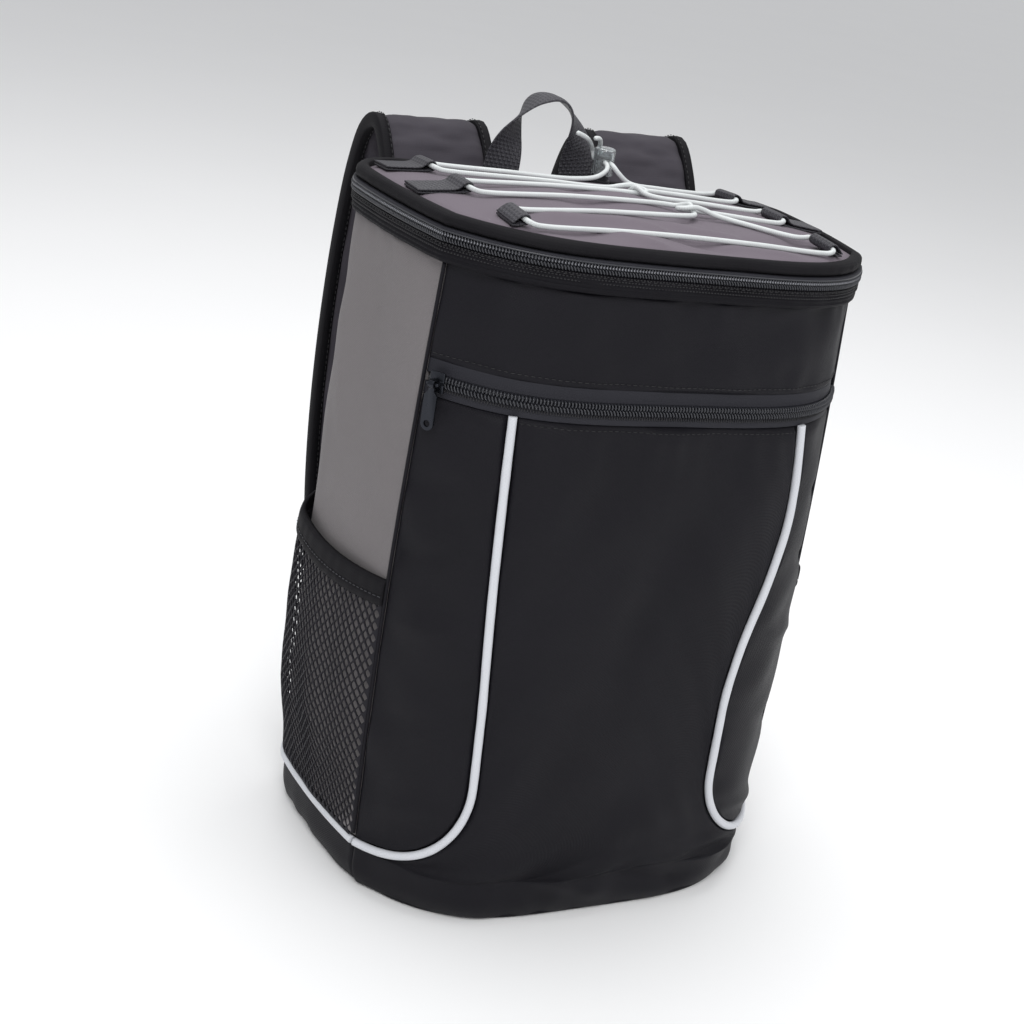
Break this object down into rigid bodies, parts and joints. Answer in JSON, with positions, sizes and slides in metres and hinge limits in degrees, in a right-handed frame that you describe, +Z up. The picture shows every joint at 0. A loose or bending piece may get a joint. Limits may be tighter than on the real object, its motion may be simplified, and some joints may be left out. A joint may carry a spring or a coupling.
{
  "type": "insulated cooler backpack",
  "caption": "Soft insulated backpack with a zipped lid, front pocket, mesh side pockets, a laced elastic cord on the lid, a grab handle and padded shoulder straps.",
  "frame": {"origin": "middle of the flat base, on the surface that it stands on", "axes": "+Z up along the body, -Y out of the front pocket, +Y towards the shoulder straps, left and right as seen from the front"},
  "size_m": [0.339, 0.303, 0.4729],
  "materials": {
    "front_cloth": "black woven polyester, matt",
    "side_cloth": "grey woven polyester, matt",
    "lid_cloth": "charcoal woven polyester, matt",
    "rim_cloth": "black ribbed edging cloth, matt",
    "base_cloth": "black coated cloth, matt",
    "piping": "light grey reflective piping, satin",
    "zip_tape": "black zip tape, matt",
    "zip_coil": "black nylon coil",
    "zip_metal": "dark painted zinc, semi gloss",
    "mesh": "black knitted net",
    "binding": "black elastic binding",
    "webbing": "black ribbed webbing",
    "cord": "light grey braided elastic cord",
    "lock_clear": "translucent moulded plastic",
    "plastic": "black moulded acetal",
    "strap_cloth": "dark grey padded air mesh"
  },
  "bodies": {
    "body": {"front_upper_panel": "front_cloth", "front_pocket_panel": "front_cloth", "front_corner_left": "front_cloth", "front_corner_right": "front_cloth", "side_panel_left": "side_cloth", "side_panel_right": "side_cloth", "back_panel": "front_cloth", "base_boot": "base_cloth", "base_panel": "base_cloth", "front_piping_left": "piping", "front_piping_right": "piping", "side_piping_left": "piping", "side_piping_right": "piping", "pocket_zip_tape_lower": "zip_tape", "pocket_zip_tape_upper": "zip_tape", "pocket_zip_coil": "zip_coil", "pocket_zip_slider": "zip_metal", "rim_band": "rim_cloth", "lid_band": "rim_cloth", "rim_zip": "zip_coil", "lid_hinge": "rim_cloth", "main_zip_slider": "zip_metal", "lid_panel": "lid_cloth", "mesh_pocket_left": "mesh", "mesh_pocket_right": "mesh", "mesh_binding_left": "binding", "mesh_binding_right": "binding", "bungee_cord": "cord", "cord_lock_barrel": "lock_clear", "grab_handle": "webbing", "shoulder_strap_left": "strap_cloth", "shoulder_strap_right": "strap_cloth", "strap_adjuster_left": "plastic", "strap_adjuster_right": "plastic", "strap_tab_left": "webbing", "strap_tab_right": "webbing", "strap_webbing_left": "webbing", "strap_webbing_right": "webbing", "webbing_loop_left_1": "webbing", "webbing_loop_left_2": "webbing", "webbing_loop_left_3": "webbing", "webbing_loop_right_1": "webbing", "webbing_loop_right_2": "webbing", "webbing_loop_right_3": "webbing"},
    "pull": {"pocket_zip_pull": "zip_metal"},
    "lock_button": {"cord_lock_button": "plastic"}
  },
  "joints": [
    {"name": "pull_swing", "type": "hinge", "parent": "body", "child": "pull", "pos_m": [-0.13895, -0.05445, 0.33665], "axis": [-0.6057, 0.7957, 0], "range_deg": [0, 160]},
    {"name": "cord_lock_press", "type": "slide", "parent": "body", "child": "lock_button", "axis": [0, 0, 1], "range_m": [0, 0.003], "stiffness_N_per_m": 800}
  ]
}
